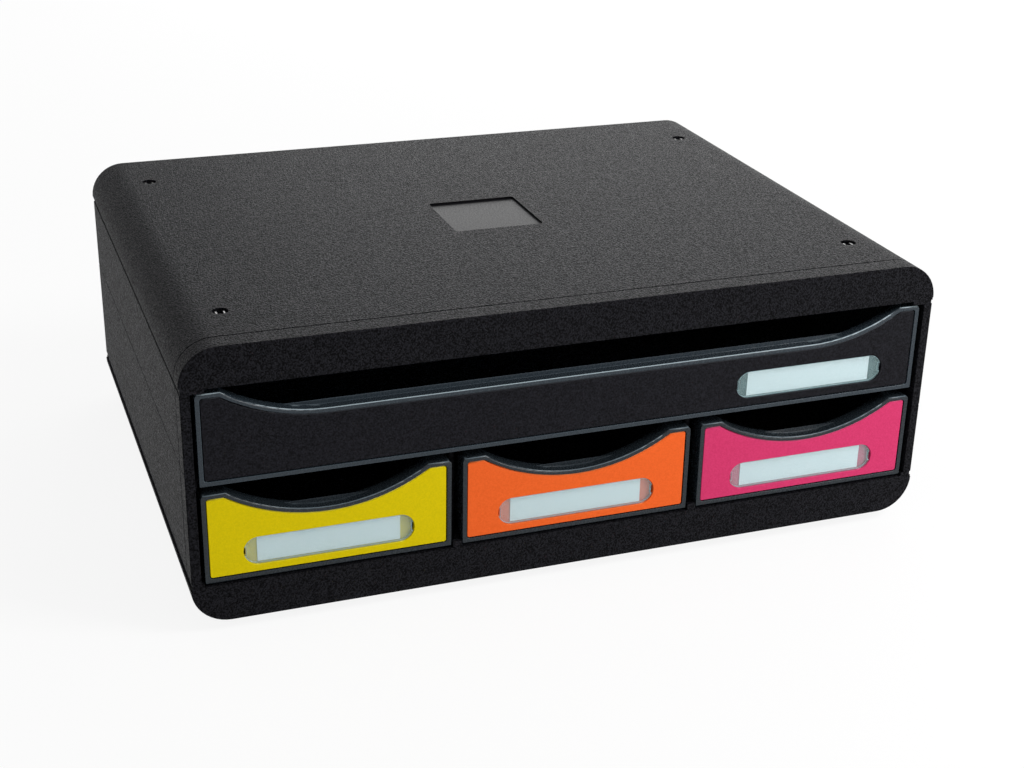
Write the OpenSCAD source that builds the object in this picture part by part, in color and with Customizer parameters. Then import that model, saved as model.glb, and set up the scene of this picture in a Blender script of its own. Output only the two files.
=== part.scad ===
// Landscape drawer box: one wide drawer above three narrow ones, in a
// moulded case that takes another box on its top.
// Millimetres, +Z up, front towards -Y. The origin is under the middle of
// the footprint, at the level of the feet.

/* [Case] */
// Width over the covers' skirts
case_w = 354; // [320:1:400]
// Depth from the front to the back
case_d = 268; // [230:1:310]
// Radius of the four long corners
corner_r = 17; // [14:0.5:22]
// Wall of the top and bottom covers
cover_t = 2.5; // [2:0.1:3.2]
// Height of the covers' front and rear bands
band_h = 18; // [16:0.5:24]
// Thickness of those bands
band_t = 2.5; // [2:0.1:3.2]
// Height of the covers' side skirts
skirt_h = 16.8; // [14:0.1:20]
// Height of the neck between a skirt and the side panel
neck_h = 3; // [2:0.1:4.5]
// How far the neck stands back from the skirt
neck_inset = 0.9; // [0.6:0.1:1.6]
// Rounding of the covers' and panels' outer edges
edge_r = 0.6; // [0.3:0.05:1]
// Distance of the trim groove behind the front
groove_setback = 10.5; // [6:0.5:20]
// Width of the trim groove
groove_w = 0.7; // [0.4:0.1:1.2]
// Depth of the trim groove
groove_depth = 0.45; // [0.2:0.05:0.6]

/* [Side panels] */
// Thickness of the side panels
panel_t = 4.3; // [3.8:0.1:5.5]
// How far a panel stands back from the skirts
panel_inset = 0.4; // [0.3:0.1:0.7]
// Height of the left seam above the middle, and of the right one below it
seam_offset = 8.1; // [5.5:0.1:14]
// Bevel along the seams
seam_bevel = 0.3; // [0.1:0.05:0.6]
// Thickness of the tongues that key the panels together
tongue_t = 1.3; // [1:0.1:1.6]
// Height of those tongues
tongue_h = 2.2; // [1.5:0.1:2.6]

/* [Decks, dividers and back] */
// Thickness of the lower deck
deck_t = 2; // [1.6:0.1:2.6]
// Thickness of the middle shelf
shelf_t = 1.8; // [1.4:0.1:2.6]
// How far the decks and dividers stand behind the front
deck_setback = 10; // [9:0.5:16]
// Thickness of the dividers
divider_t = 2.6; // [1.6:0.1:3]
// Depth of the grooves that hold the dividers
divider_groove = 0.7; // [0.4:0.1:0.9]
// Thickness of the back panel
back_t = 2.3; // [1.8:0.1:3]
// How far the back panel reaches behind each band
back_overlap = 8; // [5:0.5:10]
// Thickness of the covers' inner ribs
rib_t = 1.6; // [1.2:0.1:2.2]
// Depth of the top cover's ribs; the bottom cover's carry the lower deck
top_rib_h = 3.5; // [1:0.5:8]
// Width of the light stub in front of each divider
stub_w = 4; // [3:0.1:4.6]
// Height of that stub above the band
stub_h = 3; // [2:0.1:4]

/* [Drawers] */
// Height of a drawer front
drawer_h = 42.1; // [38:0.1:50]
// Gap between the wide drawer and the side panels
side_gap = 1.9; // [1.5:0.1:4]
// Gap between neighbouring narrow drawers
drawer_gap = 5.4; // [5.2:0.1:8]
// Gap between the bottom band and the narrow drawers
low_gap = 1; // [0.5:0.1:3]
// Gap between the narrow drawers and the middle shelf
mid_gap = 2.1; // [1.2:0.1:3]
// Gap between the wide drawer and the top band
high_gap = 2.6; // [1.5:0.1:3.5]
// How far the drawer fronts stand behind the case's front
front_recess = 1; // [0.2:0.1:1.6]
// Clearance under each sliding drawer
run_gap = 0.3; // [0.2:0.05:0.4]
// Flat shoulder at each end of a drawer's top edge
shoulder_w = 10.6; // [8:0.1:14]
// Run of the wide drawer's curved ends
scoop_run = 45; // [35:0.5:60]
// Drop of the wide drawer's grip edge
wide_drop = 13.2; // [9:0.1:16]
// Drop of the narrow drawers' grip edge
narrow_drop = 13.4; // [9:0.1:16]
// Rounding of a drawer front's upper corners
front_r = 2; // [1:0.1:3.5]
// Thickness of a drawer front
front_t = 5; // [4.6:0.1:7]
// Rounding of a grip edge, at the front and at the rear
grip_r = 0.7; // [0.3:0.05:0.9]
// Depth of the wide drawer's grip flange, from the front
wide_grip = 6.4; // [6:0.1:8.5]
// Depth of the narrow drawers' grip flanges
narrow_grip = 8; // [6:0.1:8.5]
// Thickness of the grip flange
grip_t = 2; // [1.4:0.1:2.6]
// Height of the grip flange's turned-down lip
grip_lip_h = 5; // [3:0.1:7]
// Thickness of a tray's side and rear walls
tray_wall = 1.8; // [1.4:0.1:2.4]
// Thickness of a tray's floor
tray_floor = 2; // [1.5:0.1:2.6]
// Height of a tray's side walls
tray_side_h = 31; // [24:0.5:33]
// Inner radius between a tray's floor and sides
tray_r = 3; // [1:0.5:6]
// How far a tray's sides stand inside its front
tray_inset = 1.2; // [0.8:0.1:1.4]
// Travel of a drawer
travel = 190; // [120:1:200]

/* [Front plates and labels] */
// Width of the frame round a front plate
border = 1.9; // [1.4:0.1:3]
// Thickness of a front plate
plate_t = 3; // [2.6:0.1:3.4]
// How far a plate's face stands behind its frame
plate_recess = 0.4; // [0.2:0.1:0.8]
// Gap between a plate and its frame
plate_gap = 0.4; // [0.15:0.05:0.6]
// Corner radius of a plate
plate_r = 1; // [0.6:0.1:2.4]
// Rounding of a plate's top edge
plate_edge_r = 0.6; // [0.2:0.05:0.8]
// Width of a label window
window_w = 76.2; // [60:0.5:86]
// Height of a label window
window_h = 13.4; // [10:0.1:15]
// Thickness of the clear label window
window_t = 1.2; // [0.8:0.1:1.4]
// How far the clear window stands behind the plate
window_recess = 0.4; // [0.2:0.1:0.6]
// Height of the narrow drawers' window centres above their bottoms
narrow_label_z = 12.2; // [11.5:0.1:14]
// Height of the wide drawer's window centre above its bottom
wide_label_z = 12.6; // [11.5:0.1:16]
// Depth of the notch at each end of a label window
notch_w = 1.1; // [0.5:0.1:1.6]
// Height of those notches
notch_h = 4; // [3:0.1:8]
// Width of a label card
card_w = 63.8; // [40:0.2:66]
// Height of a label card
card_h = 12; // [8:0.1:13]
// Thickness of a label card
card_t = 0.3; // [0.2:0.05:0.35]

/* [Top face and feet] */
// Distance of the stacking holes from the sides
hole_side = 25.5; // [24:0.5:36]
// Distance of the stacking holes from the front and back
hole_end = 38.4; // [30:0.2:50]
// Diameter of the stacking holes
hole_d = 7.2; // [6.4:0.1:8]
// Side of the square recess in the top
recess_w = 45; // [30:0.5:60]
// Depth of that recess
recess_depth = 1; // [0.3:0.1:1.4]
// Place of the recess's centre across and along the top
recess_at = [-1, -3.5];
// Height of the feet
foot_h = 5; // [3:0.1:8]
// Diameter of the feet
foot_d = 16; // [12:0.5:20]

/* [Hidden] */
$fn = 64;

// Small clearances and overlaps
seat_gap = 0.2;      // pieces that slip in between others
slip_gap = 0.15;     // tongue in slot, window in pocket
rear_gap = 0.5;      // tray in front of the back panel
card_gap = 0.05;     // card behind its window
weld = 0.1;          // overlap of shapes that are one moulding
past = 1;            // how far a cut runs past a face

// Heights, from the underside of the bottom cover
narrow_z = band_h + low_gap;
deck_top = narrow_z - run_gap;
deck_seat = deck_top - deck_t;
shelf_z = narrow_z + drawer_h + mid_gap;
wide_z = shelf_z + shelf_t + run_gap;
case_h = wide_z + drawer_h + high_gap + band_h;
left_seam = case_h / 2 + seam_offset;
right_seam = case_h / 2 - seam_offset;
panel_low = skirt_h + neck_h;
panel_high = case_h - panel_low;

// Widths
tab_lap = 4;         // top cover's tabs over the wide drawer's shoulders
tab_clear = 0.6;     // bottom cover's tabs beside the narrow drawers
panel_outer = case_w / 2 - panel_inset;
panel_inner = panel_outer - panel_t;
neck_outer = case_w / 2 - neck_inset;
neck_t = neck_outer - panel_inner;
tongue_x = panel_inner + (neck_t - tongue_t) / 2;
wide_w = 2 * (panel_inner - side_gap);
narrow_w = (wide_w - 2 * drawer_gap) / 3;
pitch = narrow_w + drawer_gap;
narrow_run = narrow_w / 2 - shoulder_w;
wide_flat = wide_w - 2 * (shoulder_w + scoop_run);

// Depths
front = -case_d / 2;
deck_front = front + deck_setback;
back_face = case_d / 2 - band_t - seat_gap - back_t;
deck_rear = back_face - seat_gap;
drawer_front = front + front_recess;
tray_start = drawer_front + front_t;
tray_rear = back_face - rear_gap;
tongue_end = 7;

// Pull-out stops
lug_w = 12;
lug_gap = 0.5;
wide_lug_h = drawer_h + high_gap - lug_gap;
narrow_lug_h = drawer_h + mid_gap - lug_gap;
stop_bite = 2;
stop_margin = 2;
stop_t = 2;
stop_gap = 0.5;
stop_y = tray_rear - tray_wall - travel - stop_gap - stop_t;

// Guides beside the trays
guide_gap = 0.4;
guide_t = 1.4;
guide_h = 3;
ledge_w = 2.2;

// Stacking holes, their bosses and inserts
boss_wall = 1.6;
insert_wall = 1.7;
boss_h = 10;
insert_gap = 0.1;
insert_r = hole_d / 2 + insert_wall;
prong_in = 1.2;
prong_t = 1.1;
prong_w = 3.2;
prong_drop = 0.7;
stem_h = 6;
recess_r = 1.5;

black = [0.09, 0.09, 0.1];
slate = [0.2, 0.23, 0.26];

// ------------------------------------------------------------- helpers

module block(x, y, z) {
  translate([x[0], y[0], z[0]])
    cube([x[1] - x[0], y[1] - y[0], z[1] - z[0]]);
}

// A drawing in x and z becomes a slab from y[0] to y[1]
module slab(y) {
  translate([0, y[1], 0])
    rotate([90, 0, 0])
      linear_extrude(y[1] - y[0])
        children();
}

// Everything is drawn from the underside of the bottom cover
module on_feet() {
  translate([0, 0, foot_h])
    children();
}

module both_sides() {
  children();
  mirror([1, 0, 0])
    children();
}

module turned_over() {
  translate([0, 0, case_h])
    rotate([0, 180, 0])
      children();
}

// Rounded rectangle: x centred, z upwards from 0, upper and lower radii
module rounded_front(w, h, r_top, r_low) {
  translate([-w / 2, r_low])
    square([w, h - r_low - r_top]);
  translate([-w / 2 + r_low, 0])
    square([w - 2 * r_low, h / 2]);
  translate([-w / 2 + r_top, h / 2])
    square([w - 2 * r_top, h / 2]);
  for (s = [-1, 1]) {
    translate([s * (w / 2 - r_low), r_low])
      circle(r = r_low);
    translate([s * (w / 2 - r_top), h - r_top])
      circle(r = r_top);
  }
}

// The case's outline in x and z, set in from the covers' faces
module case_outline(inset) {
  translate([0, inset])
    rounded_front(case_w - 2 * inset, case_h - 2 * inset, corner_r - inset, corner_r - inset);
}

// Section of an outer wall: thickness in x, depth in y. Its outer edges are
// rounded, and the trim groove runs round it near the front.
module wall_section(outer, t, to_front = -1) {
  groove_y = to_front * (case_d / 2 - groove_setback - groove_w / 2);
  difference() {
    union() {
      translate([outer - t, -case_d / 2])
        square([t - edge_r, case_d]);
      translate([outer - t, -case_d / 2 + edge_r])
        square([t, case_d - 2 * edge_r]);
      for (s = [-1, 1])
        translate([outer - edge_r, s * (case_d / 2 - edge_r)])
          circle(r = edge_r);
    }
    translate([outer - groove_depth, groove_y - groove_w / 2])
      square([groove_depth + past, groove_w]);
  }
}

// ------------------------------------------------------------- covers

// The cover's skin: a flat top, two swept corners and the skirts
module cover_skin() {
  intersection() {
    union() {
      translate([0, 0, case_h - corner_r])
        rotate([0, -90, 0])
          linear_extrude(case_w - 2 * corner_r, center = true)
            wall_section(corner_r, cover_t);
      both_sides()
        translate([case_w / 2 - corner_r, 0, case_h - corner_r])
          rotate([90, 0, 0])
            rotate_extrude(angle = 90)
              wall_section(corner_r, cover_t, 1);
      if (skirt_h > corner_r)
        both_sides()
          translate([0, 0, case_h - skirt_h])
            linear_extrude(skirt_h - corner_r + weld)
              wall_section(case_w / 2, cover_t);
    }
    block([-case_w, case_w], [-case_d, case_d], [case_h - skirt_h, case_h + past]);
  }
}

// The neck under each skirt, slotted for the panel's tongue
module cover_neck() {
  difference() {
    translate([0, 0, panel_high])
      linear_extrude(neck_h + cover_t)
        wall_section(neck_outer, neck_t);
    block([tongue_x - slip_gap, tongue_x + tongue_t + slip_gap],
          [front + tongue_end - slip_gap, -front - tongue_end + slip_gap],
          [panel_high - past, panel_high + tongue_h + slip_gap]);
  }
}

// Front and rear bands, and a deeper tab from tab_x out at the front one's ends
module cover_bands(tab_x) {
  for (y = [[front, front + band_t], [-front - band_t, -front]])
    slab(y)
      intersection() {
        case_outline(edge_r);
        translate([-case_w / 2, case_h - band_h])
          square([case_w, band_h + past]);
      }
  both_sides()
    block([tab_x, neck_outer - edge_r], [front, front + band_t],
          [panel_high, case_h - band_h + weld]);
}

// Ribs under the cover, down to the given height but clear of the back panel
module cover_ribs(low) {
  rear_low = max(low, case_h - band_h + back_overlap + seat_gap);
  intersection() {
    union() {
      for (column = [-2:2])
        for (run = [[front + band_t - weld, deck_rear, low],
                    [deck_rear - weld, -front - band_t + weld, rear_low]])
          block([column * pitch / 2 - rib_t / 2, column * pitch / 2 + rib_t / 2],
                [run[0], run[1]], [run[2], case_h - cover_t + weld]);
      for (y = [stop_y, 0, -stop_y])
        block([-panel_inner, panel_inner], [y, y + stop_t], [low, case_h - cover_t + weld]);
    }
    slab([front, -front])
      case_outline(cover_t / 2);
  }
}

module at_holes() {
  for (sx = [-1, 1], sy = [-1, 1])
    translate([sx * (case_w / 2 - hole_side), sy * (case_d / 2 - hole_end), 0])
      children();
}

// The moulding that both covers share, with ribs down to the given height
module cover(rib_low, tab_x) {
  difference() {
    union() {
      cover_skin();
      both_sides()
        cover_neck();
      cover_bands(tab_x);
      cover_ribs(rib_low);
      at_holes()
        translate([0, 0, case_h - boss_h])
          cylinder(r = insert_r + insert_gap + boss_wall, h = boss_h - cover_t + weld);
    }
    at_holes() {
      translate([0, 0, case_h - boss_h - past])
        cylinder(r = insert_r + insert_gap, h = boss_h + past - cover_t);
      translate([0, 0, case_h - boss_h])
        cylinder(d = hole_d, h = boss_h + past);
    }
  }
}

// Tabs that stop a drawer of the given width, in the way of its rear lugs
module stop_tabs(w, x, z) {
  tab_w = lug_w - 2 * stop_margin;
  for (s = [-1, 1])
    translate([x + s * (w / 2 - tray_inset - lug_w / 2), 0, 0])
      block([-tab_w / 2, tab_w / 2], [stop_y, stop_y + stop_t], z);
}

module top_cover() {
  color(black)
    on_feet() {
      difference() {
        cover(case_h - cover_t - top_rib_h, wide_w / 2 - tab_lap);
        translate([recess_at[0], recess_at[1] - recess_w / 2, case_h - recess_depth])
          linear_extrude(recess_depth + past)
            rounded_front(recess_w, recess_w, recess_r, recess_r);
      }
      stop_tabs(wide_w, 0, [wide_z + wide_lug_h - stop_bite, case_h - cover_t + weld]);
    }
}

module bottom_cover() {
  color(black)
    on_feet() {
      turned_over()
        cover(case_h - deck_seat, wide_w / 2 + tab_clear);
      // Stubs on the front band, in front of the dividers
      both_sides()
        block([pitch / 2 - stub_w / 2, pitch / 2 + stub_w / 2],
              [front + seat_gap, front + band_t],
              [band_h - weld, band_h + stub_h]);
    }
}

// Inserts pushed up into the top cover's bosses, each with two prongs
module stacking_sockets() {
  insert_h = boss_h - cover_t - insert_gap;
  floor_t = 1.5;
  color([0.05, 0.05, 0.06])
    on_feet()
      at_holes()
        translate([0, 0, case_h - boss_h]) {
          difference() {
            cylinder(r = insert_r, h = insert_h);
            translate([0, 0, floor_t])
              cylinder(r = hole_d / 2, h = insert_h);
          }
          for (s = [0, 1])
            mirror([s, 0, 0])
              block([prong_in, prong_in + prong_t], [-prong_w / 2, prong_w / 2],
                    [floor_t - weld, boss_h - prong_drop]);
        }
}

module feet() {
  chamfer = 1;
  color([0.14, 0.14, 0.15])
    at_holes() {
      cylinder(d1 = foot_d - 2 * chamfer, d2 = foot_d, h = chamfer);
      translate([0, 0, chamfer])
        cylinder(d = foot_d, h = foot_h - chamfer);
      translate([0, 0, foot_h - weld])
        cylinder(r = hole_d / 2 - insert_gap, h = stem_h);
    }
}

// ------------------------------------------------------------- side panels

module tongue(z) {
  block([tongue_x, tongue_x + tongue_t], [front + tongue_end, -front - tongue_end], z);
}

// A right-hand panel between two heights. A lower panel has a tongue at both
// edges, an upper one a tongue at its top and a slot at its bottom.
module side_panel(z, lower) {
  difference() {
    union() {
      translate([0, 0, z[0]])
        linear_extrude(z[1] - z[0])
          wall_section(panel_outer, panel_t);
      tongue([z[1] - weld, z[1] + tongue_h]);
      if (lower)
        tongue([z[0] - tongue_h, z[0] + weld]);
      // Ledge under the middle shelf
      if (z[0] < shelf_z && shelf_z < z[1])
        block([panel_inner - ledge_w, panel_inner + weld], [deck_front, deck_rear],
              [shelf_z - guide_h, shelf_z]);
    }
    if (!lower)
      block([tongue_x - slip_gap, tongue_x + tongue_t + slip_gap],
            [front + tongue_end - slip_gap, -front - tongue_end + slip_gap],
            [z[0] - past, z[0] + tongue_h + slip_gap]);
    // Bevels along both edges
    for (edge = z)
      translate([panel_outer, 0, edge])
        rotate([0, 45, 0])
          cube([seam_bevel * sqrt(2), 2 * case_d, seam_bevel * sqrt(2)], center = true);
  }
}

module left_upper_panel() {
  color(black)
    on_feet()
      mirror([1, 0, 0])
        side_panel([left_seam, panel_high], false);
}

module left_lower_panel() {
  color(black)
    on_feet()
      mirror([1, 0, 0])
        side_panel([panel_low, left_seam], true);
}

module right_upper_panel() {
  color(black)
    on_feet()
      side_panel([right_seam, panel_high], false);
}

module right_lower_panel() {
  color(black)
    on_feet()
      side_panel([panel_low, right_seam], true);
}

// ------------------------------------------------------------- inside the case

module divider_grooves(z) {
  both_sides()
    block([pitch / 2 - divider_t / 2 - slip_gap, pitch / 2 + divider_t / 2 + slip_gap],
          [deck_front - past, deck_rear + past], z);
}

// Low rails that keep a tray of the given width straight
module guides(w, x, z) {
  for (s = [-1, 1])
    translate([x + s * (w / 2 - tray_inset + guide_gap + guide_t / 2), 0, 0])
      block([-guide_t / 2, guide_t / 2], [deck_front, deck_rear], [z - weld, z + guide_h]);
}

module middle_shelf() {
  color(black)
    on_feet() {
      difference() {
        block([-panel_inner + seat_gap, panel_inner - seat_gap],
              [deck_front, deck_rear], [shelf_z, shelf_z + shelf_t]);
        divider_grooves([shelf_z - past, shelf_z + divider_groove]);
      }
      guides(wide_w, 0, shelf_z + shelf_t);
      for (column = [-1, 0, 1])
        stop_tabs(narrow_w, column * pitch,
                  [narrow_z + narrow_lug_h - stop_bite, shelf_z + weld]);
    }
}

module lower_deck() {
  color(black)
    on_feet() {
      difference() {
        block([-panel_inner + seat_gap, panel_inner - seat_gap],
              [deck_front, deck_rear], [deck_seat, deck_top]);
        divider_grooves([deck_top - divider_groove, deck_top + past]);
      }
      for (column = [-1, 0, 1])
        guides(narrow_w, column * pitch, deck_top);
    }
}

module divider(side) {
  color(black)
    on_feet()
      translate([side * pitch / 2, 0, 0])
        block([-divider_t / 2, divider_t / 2], [deck_front, deck_rear],
              [deck_top - divider_groove, shelf_z + divider_groove]);
}

module left_divider() {
  divider(-1);
}

module right_divider() {
  divider(1);
}

module back_panel() {
  color(black)
    on_feet()
      slab([back_face, back_face + back_t])
        intersection() {
          case_outline(cover_t + seat_gap);
          translate([-panel_inner + seat_gap, band_h - back_overlap])
            square([2 * (panel_inner - seat_gap), case_h - 2 * (band_h - back_overlap)]);
        }
}

// ------------------------------------------------------------- drawers

// Radius of a scoop's arcs, which run level into its flat
function scoop_r(run, drop) = (run * run + drop * drop) / (2 * drop);

// A drawer front's outline without its scoop
module front_outline(w, inset, r_top, r_low) {
  translate([0, inset])
    rounded_front(w - 2 * inset, drawer_h - 2 * inset, r_top, r_low);
}

// The same outline, scooped along its top edge
module scooped_front(w, flat, run, drop, inset, r_top, r_low) {
  difference() {
    front_outline(w, inset, r_top, r_low);
    for (s = [-1, 1])
      translate([s * flat / 2, drawer_h - drop + scoop_r(run, drop)])
        circle(r = scoop_r(run, drop) + inset, $fn = 256);
    if (flat > 0)
      translate([-flat / 2, drawer_h - drop - inset])
        square([flat, drop + inset + past]);
  }
}

// The space over an edge, in height and depth. The edge under it is at height
// 0, runs from y[0] to y[1] and is rounded over at both ends.
module over_edge(h, y, r) {
  difference() {
    translate([-r, y[0] - past])
      square([h + r, y[1] - y[0] + 2 * past]);
    translate([-2 * r, y[0] + r])
      square([2 * r, y[1] - y[0] - 2 * r]);
    for (centre = [y[0] + r, y[1] - r])
      translate([-r, centre])
        circle(r = r);
  }
}

// Straight run of that space along x, over an edge at the given height
module over_straight(x, z, h, y, r) {
  translate([x[0], 0, z])
    rotate([90, 0, 90])
      linear_extrude(x[1] - x[0])
        mirror([1, -1])
          over_edge(h, y, r);
}

// Cuts a drawer's top edge: the scoop's two arcs, its flat and the shoulders.
// The inset is the edge's distance below the drawer's own top edge.
module top_cut(w, flat, run, drop, inset, y, r) {
  h = drop + inset + past;
  for (s = [-1, 1])
    translate([s * flat / 2, 0, drawer_h - drop + scoop_r(run, drop)])
      rotate([-90, 0, 0])
        rotate_extrude($fn = 256)
          translate([scoop_r(run, drop) + inset, 0])
            mirror([1, 0])
              over_edge(h, y, r);
  if (flat > 0)
    over_straight([-flat / 2, flat / 2], drawer_h - drop - inset, h, y, r);
  over_straight([-w / 2 - past, w / 2 + past], drawer_h - inset, past, y, r);
}

// A tray's section in x and z: square above, rounded below
module tray_section(w, h, r) {
  translate([-w / 2 + r, 0])
    square([w - 2 * r, h]);
  translate([-w / 2, r])
    square([w, h - r]);
  for (s = [-1, 1])
    translate([s * (w / 2 - r), r])
      circle(r = r);
}

// A drawer moulding: framed front, grip flange, tray and stop lugs
module tray(w, flat, run, drop, grip, lug_h) {
  body_w = w - 2 * tray_inset;
  frame_r = 0.4;
  recess = plate_recess + plate_t;
  flange_y = drawer_front + grip;
  difference() {
    union() {
      slab([drawer_front, tray_start])
        front_outline(w, 0, front_r, frame_r);
      // Grip flange and its turned-down lip
      for (strip = [[tray_start - weld, grip_t], [flange_y - grip_t, grip_lip_h]])
        slab([strip[0], flange_y])
          difference() {
            front_outline(w, 0, front_r, frame_r);
            translate([0, -strip[1]])
              scooped_front(w - 2 * grip_t, flat, run, drop, 0, front_r, frame_r);
          }
    }
    slab([drawer_front - past, drawer_front + recess])
      scooped_front(w, flat, run, drop, border, plate_r + plate_gap, plate_r + plate_gap);
    top_cut(w, flat, run, drop, 0, [drawer_front, flange_y], grip_r);
  }
  difference() {
    union() {
      slab([tray_start - weld, tray_rear])
        tray_section(body_w, tray_side_h, tray_r + tray_wall);
      // Lugs that meet the case's stop tabs
      for (s = [-1, 1])
        translate([s * (body_w / 2 - lug_w / 2), 0, 0])
          block([-lug_w / 2, lug_w / 2], [tray_rear - tray_wall, tray_rear],
                [tray_side_h - weld, lug_h]);
    }
    slab([tray_start, tray_rear - tray_wall])
      translate([0, tray_floor])
        tray_section(body_w - 2 * tray_wall, drawer_h, tray_r);
  }
}

// The plate that fills a drawer's frame, with a pocket for the label window
// and a slot right through at each end of the pocket
module front_plate(w, flat, run, drop, label) {
  y = [drawer_front + plate_recess, drawer_front + plate_recess + plate_t];
  inset = border + plate_gap;
  difference() {
    slab(y)
      front_outline(w, inset, plate_r, plate_r);
    top_cut(w, flat, run, drop, inset, y, plate_edge_r);
    slab([y[0] - past, y[0] + window_recess + window_t + 2 * card_gap + card_t])
      translate(label)
        capsule(0);
    slab([y[0] - past, y[1] + past])
      translate(label)
        intersection() {
          capsule(0);
          window_notches();
        }
  }
}

// The label window's round-ended outline
module capsule(inset) {
  r = window_h / 2 - inset;
  middle = window_w - window_h;
  translate([-middle / 2, -r])
    square([middle, 2 * r]);
  for (s = [-1, 1])
    translate([s * middle / 2, 0])
      circle(r = r);
}

module window_notches() {
  for (s = [-1, 1])
    translate([s * window_w / 2, 0])
      square([2 * notch_w, notch_h], center = true);
}

module label_window(label) {
  y = drawer_front + plate_recess + window_recess;
  color([0.85, 0.93, 0.92, 0.45])
    slab([y, y + window_t])
      translate(label)
        difference() {
          capsule(slip_gap);
          window_notches();
        }
}

module label_card(label) {
  y = drawer_front + plate_recess + window_recess + window_t + card_gap;
  color([0.94, 0.96, 0.96])
    translate([label[0], 0, label[1]])
      block([-card_w / 2, card_w / 2], [y, y + card_t], [-card_h / 2, card_h / 2]);
}

wide_label = [pitch, wide_label_z];
narrow_label = [0, narrow_label_z];

module at_wide() {
  on_feet()
    translate([0, 0, wide_z])
      children();
}

// Columns are -1, 0 and 1 from left to right
module at_narrow(column) {
  on_feet()
    translate([column * pitch, 0, narrow_z])
      children();
}

module narrow_tray(column) {
  color(slate)
    at_narrow(column)
      tray(narrow_w, 0, narrow_run, narrow_drop, narrow_grip, narrow_lug_h);
}

module narrow_front_plate(column, tint) {
  color(tint)
    at_narrow(column)
      front_plate(narrow_w, 0, narrow_run, narrow_drop, narrow_label);
}

module wide_tray() {
  color(slate)
    at_wide()
      tray(wide_w, wide_flat, scoop_run, wide_drop, wide_grip, wide_lug_h);
}

module wide_front_plate() {
  color(black)
    at_wide()
      front_plate(wide_w, wide_flat, scoop_run, wide_drop, wide_label);
}

module wide_label_window() {
  at_wide()
    label_window(wide_label);
}

module wide_label_card() {
  at_wide()
    label_card(wide_label);
}

module yellow_tray() {
  narrow_tray(-1);
}

module yellow_front_plate() {
  narrow_front_plate(-1, [0.86, 0.78, 0.05]);
}

module yellow_label_window() {
  at_narrow(-1)
    label_window(narrow_label);
}

module yellow_label_card() {
  at_narrow(-1)
    label_card(narrow_label);
}

module orange_tray() {
  narrow_tray(0);
}

module orange_front_plate() {
  narrow_front_plate(0, [0.95, 0.4, 0.16]);
}

module orange_label_window() {
  at_narrow(0)
    label_window(narrow_label);
}

module orange_label_card() {
  at_narrow(0)
    label_card(narrow_label);
}

module pink_tray() {
  narrow_tray(1);
}

module pink_front_plate() {
  narrow_front_plate(1, [0.87, 0.24, 0.43]);
}

module pink_label_window() {
  at_narrow(1)
    label_window(narrow_label);
}

module pink_label_card() {
  at_narrow(1)
    label_card(narrow_label);
}

top_cover();
bottom_cover();
left_upper_panel();
left_lower_panel();
right_upper_panel();
right_lower_panel();
middle_shelf();
lower_deck();
left_divider();
right_divider();
back_panel();
stacking_sockets();
feet();
wide_tray();
wide_front_plate();
wide_label_window();
wide_label_card();
yellow_tray();
yellow_front_plate();
yellow_label_window();
yellow_label_card();
orange_tray();
orange_front_plate();
orange_label_window();
orange_label_card();
pink_tray();
pink_front_plate();
pink_label_window();
pink_label_card();
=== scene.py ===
"""Looks of the landscape desk drawer box: rounded edges, materials, floor, light and camera."""
import math

import bpy
from mathutils import Matrix, Vector

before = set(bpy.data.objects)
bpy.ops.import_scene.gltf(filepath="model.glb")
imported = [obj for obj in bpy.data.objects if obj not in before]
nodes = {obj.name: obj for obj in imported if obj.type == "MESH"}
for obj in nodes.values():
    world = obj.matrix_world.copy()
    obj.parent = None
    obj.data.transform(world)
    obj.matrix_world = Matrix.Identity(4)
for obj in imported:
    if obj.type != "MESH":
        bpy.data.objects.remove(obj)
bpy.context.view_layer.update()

MM = 0.001
DRAWERS = ("wide", "yellow", "orange", "pink")

# ------------------------------------------------------------------ camera

SENSOR_WIDTH = 36.0
FOCAL_LENGTH = 59.25
CAMERA_AZIMUTH = math.radians(-20.431)
CAMERA_ELEVATION = math.radians(23.969)
CAMERA_ROLL = math.radians(1.213)
CAMERA_DISTANCE = 887.3 * MM
AIM_POINT = Vector((16.5, 0, 36.1)) * MM


def make_camera():
    """A camera at the photograph's viewpoint."""
    flat = math.cos(CAMERA_ELEVATION)
    back = Vector((math.sin(CAMERA_AZIMUTH) * flat,
                   -math.cos(CAMERA_AZIMUTH) * flat,
                   math.sin(CAMERA_ELEVATION)))
    right = (-back).cross(Vector((0, 0, 1))).normalized()
    up = right.cross(-back)
    rolled_right = right * math.cos(CAMERA_ROLL) + up * math.sin(CAMERA_ROLL)
    rolled_up = up * math.cos(CAMERA_ROLL) - right * math.sin(CAMERA_ROLL)
    data = bpy.data.cameras.new("camera")
    data.sensor_fit = "HORIZONTAL"
    data.sensor_width = SENSOR_WIDTH
    data.lens = FOCAL_LENGTH
    data.clip_start = 0.01
    camera = bpy.data.objects.new("camera", data)
    turn = Matrix((rolled_right, rolled_up, back)).transposed()
    camera.matrix_world = Matrix.Translation(AIM_POINT + back * CAMERA_DISTANCE) @ turn.to_4x4()
    bpy.context.scene.collection.objects.link(camera)
    bpy.context.scene.camera = camera


# ------------------------------------------------------------------ materials

def new_material(name):
    """An empty Principled material: the material, its node tree and its shader."""
    made = bpy.data.materials.new(name)
    made.use_nodes = True
    return made, made.node_tree, made.node_tree.nodes["Principled BSDF"]


def add(tree, kind, **settings):
    """A shader node, with its inputs set by name."""
    node = tree.nodes.new(kind)
    for name, value in settings.items():
        node.inputs[name.replace("_", " ")].default_value = value
    return node


def linear(colour):
    """A colour given as 0 to 255 sRGB, as linear light."""
    shares = [c / 255 for c in colour]
    return [c / 12.92 if c <= 0.04045 else ((c + 0.055) / 1.055) ** 2.4 for c in shares]


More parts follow.
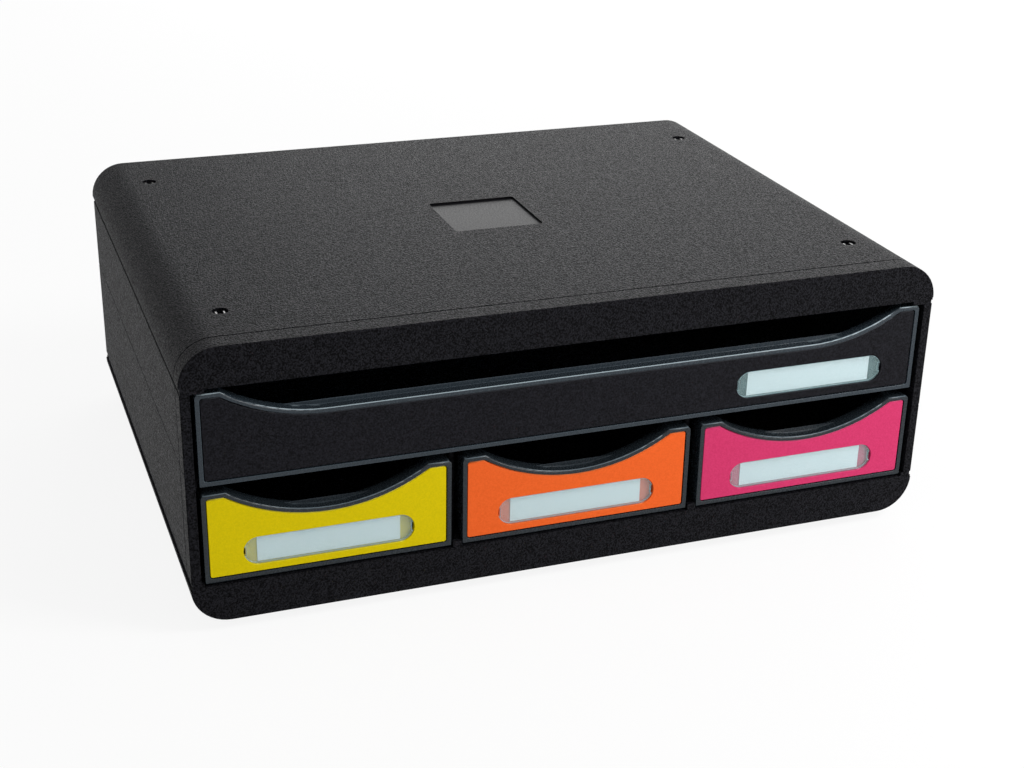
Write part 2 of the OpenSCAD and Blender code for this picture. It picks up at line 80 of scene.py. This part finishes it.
def noise(tree, size, detail=2.0, stretch=(1, 1, 1)):
    """Noise whose patches are about the given size in metres, in the frame's own coordinates."""
    place = add(tree, "ShaderNodeTexCoord")
    scale = add(tree, "ShaderNodeMapping", Scale=stretch)
    made = add(tree, "ShaderNodeTexNoise", Scale=1 / size, Detail=detail)
    tree.links.new(place.outputs["Object"], scale.inputs["Vector"])
    tree.links.new(scale.outputs["Vector"], made.inputs["Vector"])
    return made.outputs["Fac"]


def between(tree, factor, low, high, start=0.3, end=0.7):
    """Maps a factor's range, by default its middle, onto low to high."""
    made = add(tree, "ShaderNodeMapRange", From_Min=start, From_Max=end, To_Min=low, To_Max=high)
    tree.links.new(factor, made.inputs["Value"])
    return made.outputs["Result"]


def tint(tree, factor, dark, light, spread=0.2):
    """A colour between two given as 0 to 255 sRGB, over the spread about the factor's middle."""
    ramp = tree.nodes.new("ShaderNodeValToRGB")
    places = 0.5 - spread, 0.5 + spread
    for stop, colour, place in zip(ramp.color_ramp.elements, (dark, light), places):
        stop.position = place
        stop.color = (*linear(colour), 1)
    tree.links.new(factor, ramp.inputs["Fac"])
    return ramp.outputs["Color"]


def relief(tree, shader, height, depth):
    """Raises the surface by a height map, depth in metres."""
    bump = add(tree, "ShaderNodeBump", Strength=1, Distance=depth)
    tree.links.new(height, bump.inputs["Height"])
    tree.links.new(bump.outputs["Normal"], shader.inputs["Normal"])


def vector_math(tree, operation, first, second=None):
    """A difference or the like of a socket and a fixed vector."""
    made = tree.nodes.new("ShaderNodeVectorMath")
    made.operation = operation
    tree.links.new(first, made.inputs[0])
    if second:
        made.inputs[1].default_value = second
    return made.outputs["Value" if operation == "DOT_PRODUCT" else "Vector"]


def scalar_math(tree, operation, first, second):
    """A product or the like of a socket and a socket or number."""
    made = tree.nodes.new("ShaderNodeMath")
    made.operation = operation
    tree.links.new(first, made.inputs[0])
    if isinstance(second, (int, float)):
        made.inputs[1].default_value = second
    else:
        tree.links.new(second, made.inputs[1])
    return made.outputs[0]


# The way that rounded front edges face where a paler colour is painted on as a highlight
HIGHLIGHT_FACING = 0, -0.53, 0.85
# The recess's middle, and how far it reaches to each side
RECESS_MIDDLE = -1 * MM, -3.5 * MM, 132.5 * MM
RECESS_REACH = 22.6 * MM, 22.6 * MM, 1.5 * MM


def in_recess(tree):
    """1 in the top's square recess and 0 elsewhere."""
    place = tree.nodes.new("ShaderNodeTexCoord").outputs["Object"]
    aside = vector_math(tree, "ABSOLUTE", vector_math(tree, "SUBTRACT", place, RECESS_MIDDLE))
    outside = tree.nodes.new("ShaderNodeSeparateXYZ")
    tree.links.new(vector_math(tree, "SUBTRACT", aside, RECESS_REACH), outside.inputs[0])
    farthest = scalar_math(tree, "MAXIMUM", outside.outputs["X"], outside.outputs["Y"])
    farthest = scalar_math(tree, "MAXIMUM", farthest, outside.outputs["Z"])
    return scalar_math(tree, "LESS_THAN", farthest, 0)


def highlight_edge_share(tree):
    """1 where a rounded edge faces up and forward, where a paler colour is painted on as a
    highlight, and 0 elsewhere.
    """
    normal = tree.nodes.new("ShaderNodeNewGeometry").outputs["Normal"]
    facing = vector_math(tree, "DOT_PRODUCT", normal, HIGHLIGHT_FACING)
    return between(tree, facing, 0, 1, start=0.91, end=0.97)


def mixed(tree, share, first, second):
    """A colour between a linked one and a fixed one given as 0 to 255 sRGB."""
    made = tree.nodes.new("ShaderNodeMix")
    made.data_type = "RGBA"
    tree.links.new(share, made.inputs["Factor"])
    tree.links.new(first, made.inputs[6])
    made.inputs[7].default_value = (*linear(second), 1)
    return made.outputs[2]


def moulded_plastic(name, dark, light, roughness, grain_size, grain_depth, shine=0.5, spread=0.2,
                    painted_highlight=None):
    """Plastic with moulded grain: dark and light are the ends of its slight mottling, and
    painted_highlight is a paler colour painted on its rounded front edges as a highlight."""
    made, tree, shader = new_material(name)
    grain = noise(tree, grain_size)
    colour = tint(tree, grain, dark, light, spread)
    # Painted highlight: a paler colour mixed in on the rounded edges that face up and forward
    if painted_highlight:
        colour = mixed(tree, highlight_edge_share(tree), colour, painted_highlight)
    tree.links.new(colour, shader.inputs["Base Color"])
    tree.links.new(between(tree, grain, *roughness), shader.inputs["Roughness"])
    shader.inputs["Specular IOR Level"].default_value = shine
    relief(tree, shader, grain, grain_depth)
    return made


def case_plastic():
    """Grained black, and in the recess one plain black with more gloss and hardly any grain."""
    made = moulded_plastic("case_plastic", (2, 2, 3), (26, 26, 30), (0.7, 0.35),
                           0.75 * MM, 0.6 * MM, shine=0.04, spread=0.12)
    tree = made.node_tree
    colour, roughness = (tree.nodes["Principled BSDF"].inputs[name]
                         for name in ("Base Color", "Roughness"))
    relief_share = tree.nodes["Bump"].inputs["Strength"]
    inside = in_recess(tree)
    roughness_share = between(tree, inside, 1, 0.7, start=0, end=1)
    tree.links.new(mixed(tree, inside, colour.links[0].from_socket, (16, 16, 18)), colour)
    tree.links.new(scalar_math(tree, "MULTIPLY", roughness.links[0].from_socket, roughness_share),
                   roughness)
    tree.links.new(between(tree, inside, 1, 0.05, start=0, end=1), relief_share)
    return made


def slate_plastic(name, dark, light, painted_highlight=None):
    """The trays' smooth plastic."""
    return moulded_plastic(name, dark, light, (0.24, 0.3), 0.8 * MM, 0.006 * MM,
                           shine=0.25, painted_highlight=painted_highlight)


def socket_plastic():
    """The glossy black of the inserts in the top's holes."""
    return moulded_plastic("socket_plastic", (8, 8, 9), (12, 12, 13), (0.12, 0.2),
                           0.8 * MM, 0.003 * MM)


def foot_rubber():
    """Matt dark rubber."""
    return moulded_plastic("foot_rubber", (30, 30, 31), (40, 40, 41), (0.75, 0.85),
                           0.4 * MM, 0.03 * MM, shine=0.3)


def plate_plastic(name, dark, light, painted_highlight):
    """The front plates' satin plastic, with a paler colour painted on its rounded front edges as
    a highlight.
    """
    return moulded_plastic(name, dark, light, (0.4, 0.48), 0.7 * MM, 0.05 * MM,
                           shine=0.06, painted_highlight=painted_highlight)


def card_paper():
    """White card with faint fibres."""
    made, tree, shader = new_material("card_paper")
    fibres = noise(tree, 0.5 * MM, detail=4.0, stretch=(0.3, 1, 1))
    colour = tint(tree, fibres, (214, 226, 231), (228, 237, 240))
    tree.links.new(colour, shader.inputs["Base Color"])
    tree.links.new(between(tree, fibres, 0.8, 0.9), shader.inputs["Roughness"])
    relief(tree, shader, fibres, 0.01 * MM)
    return made


def clear_plastic(name, colour, alpha):
    """Thin clear plastic with a gloss of its own."""
    made, tree, shader = new_material(name)
    smears = noise(tree, 8 * MM)
    tree.links.new(between(tree, smears, 0.06, 0.12), shader.inputs["Roughness"])
    shader.inputs["Base Color"].default_value = (*linear(colour), 1)
    shader.inputs["Alpha"].default_value = alpha
    return made


def set_material(node, material, edge):
    """Gives a node its material, and that of its rounded edges, which on the trays is paler as a
    painted highlight.
    """
    nodes[node].data.materials.clear()
    for made in (material, edge):
        nodes[node].data.materials.append(made)


CASE_NODES = ("top_cover", "bottom_cover", "left_upper_panel", "left_lower_panel",
              "right_upper_panel", "right_lower_panel", "middle_shelf", "lower_deck",
              "left_divider", "right_divider", "back_panel")
# The ends of each plate's mottling and the paler colour painted on its rounded front edges as a
# highlight, as 0 to 255 sRGB
PLATE_COLOURS = {
    "wide": ((3, 3, 5), (28, 28, 33), (68, 70, 75)),
    "yellow": ((190, 172, 0), (202, 181, 0), (236, 222, 84)),
    "orange": ((210, 86, 31), (220, 93, 37), (248, 136, 80)),
    "pink": ((180, 44, 88), (191, 52, 98), (226, 100, 140)),
}
# The same for the trays, their third colour painted on their rounded front edges as a highlight,
# and the ends of the mottling of their rounded edges' strips, paler than the trays as a painted
# highlight. The narrow trays' colours are darker copies of the wide trays' slate, as painted
# shade.
WIDE_SLATE = (36, 44, 50), (42, 50, 57), (150, 164, 171)
WIDE_EDGE_HIGHLIGHT = (52, 62, 69), (60, 70, 78)
# Painted shade: the narrow trays' slate, edge strips and edge highlight are darker copies of the
# wide trays' ones; the strips stay paler than the faces as a painted highlight
SHADED_NARROW_SLATE = (27, 33, 37), (33, 39, 44), (86, 97, 104)
SHADED_NARROW_EDGE_HIGHLIGHT = (38, 46, 52), (46, 54, 60)


def dress_nodes():
    """Gives every CAD node its material."""
    case = case_plastic()
    # The trays' second material, on their edge strips, is paler as a painted highlight
    wide_slate = (slate_plastic("wide_slate", *WIDE_SLATE),
                  slate_plastic("wide_slate_edge", *WIDE_EDGE_HIGHLIGHT))
    # The narrow trays get the darker copy of the slate, as painted shade
    slate = slate_plastic("slate", *SHADED_NARROW_SLATE), slate_plastic("slate_edge", *SHADED_NARROW_EDGE_HIGHLIGHT)
    clear = (clear_plastic("clear_plastic", (154, 186, 188), alpha=0.2),
             clear_plastic("clear_edge", (150, 178, 184), alpha=0.7))
    card = card_paper()
    socket = socket_plastic()
    rubber = foot_rubber()
    for name in CASE_NODES:
        set_material(name, case, case)
    set_material("stacking_sockets", socket, socket)
    set_material("feet", rubber, rubber)
    for drawer in DRAWERS:
        plate = plate_plastic(drawer + "_plate", *PLATE_COLOURS[drawer])
        set_material(drawer + "_tray", *(wide_slate if drawer == "wide" else slate))
        set_material(drawer + "_front_plate", plate, plate)
        set_material(drawer + "_label_window", *clear)
        set_material(drawer + "_label_card", card, card)


# ------------------------------------------------------------------ edges

WELD_DISTANCE = 0.002 * MM
FLAT_ANGLE = math.radians(0.5)
# The rounding's width, and the angle in degrees from which an edge gets it
FINE_ROUNDING = 0.15 * MM, 85
PLAIN_ROUNDING = 0.25 * MM, 40


def round_edges(node, width, sharp):
    """Breaks a node's sharp edges, as moulds do, so that they catch light."""
    piece = nodes[node]
    weld = piece.modifiers.new("weld", "WELD")
    weld.merge_threshold = WELD_DISTANCE
    flatten = piece.modifiers.new("flatten", "DECIMATE")
    flatten.decimate_type = "DISSOLVE"
    flatten.angle_limit = FLAT_ANGLE
    bevel = piece.modifiers.new("bevel", "BEVEL")
    bevel.width = width
    bevel.segments = 2
    bevel.limit_method = "ANGLE"
    bevel.angle_limit = math.radians(sharp)
    bevel.harden_normals = True
    # The strips get the second material, which on the trays is paler as a painted highlight
    bevel.material = 1
    bevel.use_clamp_overlap = False


def round_all_edges():
    """The covers' edges are round in the solids already, and the cards' are as sharp as paper."""
    for name in nodes:
        if name.endswith(("_tray", "_plate")):
            round_edges(name, *FINE_ROUNDING)
        elif not name.endswith(("_card", "_cover")):
            round_edges(name, *PLAIN_ROUNDING)


# ------------------------------------------------------------------ floor and light

FLOOR_WIDTH = 30
FLOOR_COLOUR = 0.95, 0.95, 0.95, 1
# The share of plain white in the floor's look, and the even light of the world on the object
FLOOR_WHITE = 0.88
WORLD_LIGHT = 0.45
WHITE = 1, 1, 1, 1
# Each lamp's place, the point it faces, its size in metres and its power in watts
LAMPS = {
    "key": ((0.7, -0.6, 0.9), (0.1, 0, 0.1), (0.4, 0.4), 8),
    "low": ((0.8, -0.85, 0.2), (0.1, 0, 0.07), (0.6, 0.3), 6),
    "rear": ((0.75, 1.25, 0.6), (0, 0, 0.13), (1.4, 0.8), 10),
}


def in_view(tree):
    """1 for the rays of the camera, of gloss and of glass, and 0 for those of soft light."""
    rays = tree.nodes.new("ShaderNodeLightPath")
    seen = rays.outputs["Is Camera Ray"]
    for kind in ("Is Glossy Ray", "Is Transmission Ray"):
        seen = scalar_math(tree, "MAXIMUM", seen, rays.outputs[kind])
    return seen


def make_floor():
    """A plain pale floor that shows as nearly white and keeps a soft shadow of the object."""
    bpy.ops.mesh.primitive_plane_add(size=FLOOR_WIDTH)
    floor = bpy.context.object
    floor.name = "floor"
    made, tree, shader = new_material("floor")
    shader.inputs["Base Color"].default_value = FLOOR_COLOUR
    shader.inputs["Roughness"].default_value = 0.9
    shader.inputs["Specular IOR Level"].default_value = 0.1
    white = add(tree, "ShaderNodeEmission", Color=WHITE, Strength=1)
    mix = tree.nodes.new("ShaderNodeMixShader")
    tree.links.new(scalar_math(tree, "MULTIPLY", in_view(tree), FLOOR_WHITE), mix.inputs[0])
    tree.links.new(shader.outputs[0], mix.inputs[1])
    tree.links.new(white.outputs[0], mix.inputs[2])
    tree.links.new(mix.outputs[0], tree.nodes["Material Output"].inputs["Surface"])
    floor.data.materials.append(made)


def soft_box(name, place, aim, size, power):
    """An area lamp facing a point."""
    data = bpy.data.lights.new(name, "AREA")
    data.shape = "RECTANGLE"
    data.size, data.size_y = size
    data.energy = power
    lamp = bpy.data.objects.new(name, data)
    lamp.location = place
    lamp.rotation_euler = (Vector(place) - Vector(aim)).to_track_quat("Z", "Y").to_euler()
    bpy.context.scene.collection.objects.link(lamp)


def make_world():
    """White behind the object and in its reflections, and a weaker even light on it."""
    world = bpy.data.worlds.new("world")
    bpy.context.scene.world = world
    world.use_nodes = True
    tree = world.node_tree
    light = tree.nodes["Background"]
    light.inputs["Strength"].default_value = WORLD_LIGHT
    light.inputs["Color"].default_value = WHITE
    white = add(tree, "ShaderNodeBackground", Color=WHITE, Strength=1)
    mix = tree.nodes.new("ShaderNodeMixShader")
    tree.links.new(in_view(tree), mix.inputs[0])
    tree.links.new(light.outputs[0], mix.inputs[1])
    tree.links.new(white.outputs[0], mix.inputs[2])
    tree.links.new(mix.outputs[0], tree.nodes["World Output"].inputs["Surface"])


def make_lamps():
    """Soft lamps at the right front, low before the front, and at the rear."""
    for name, lamp in LAMPS.items():
        soft_box(name, *lamp)


make_camera()
dress_nodes()
round_all_edges()
make_floor()
make_world()
make_lamps()
bpy.context.scene.view_settings.view_transform = "Standard"
